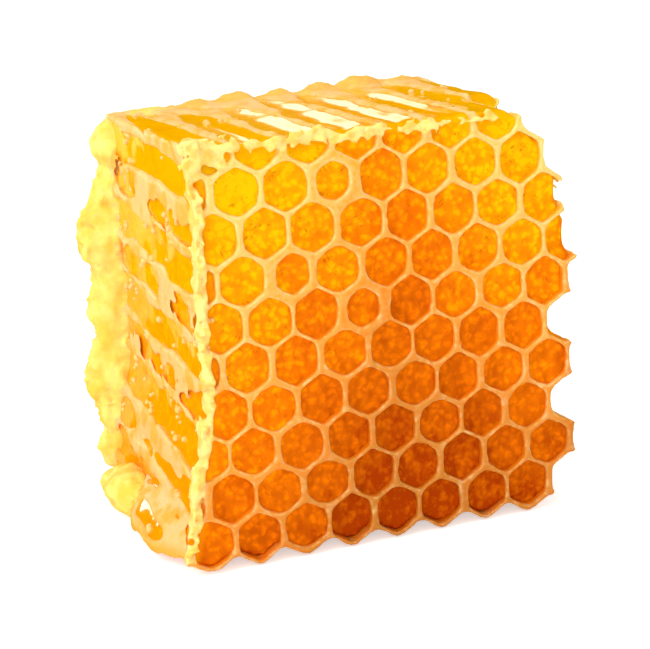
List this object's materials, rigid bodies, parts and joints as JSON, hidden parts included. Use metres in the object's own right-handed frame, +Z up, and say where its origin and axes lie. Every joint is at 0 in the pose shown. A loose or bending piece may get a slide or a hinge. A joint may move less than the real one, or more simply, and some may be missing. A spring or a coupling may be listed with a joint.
{
  "type": "honeycomb piece",
  "caption": "Cut piece of honeycomb with open hexagonal wax cells filled with honey, cut flat along its top and one side.",
  "frame": {"origin": "bottom centre of the bounding box, on the surface that the piece stands on", "axes": "+Z up, the open front face looks along -Y, the long cut side looks along -X"},
  "size_m": [0.0484, 0.0366, 0.0469],
  "materials": {
    "wax": "satin",
    "honey": "gloss"
  },
  "bodies": {
    "root": {"wax_comb": "wax", "honey": "honey"}
  },
  "joints": []
}
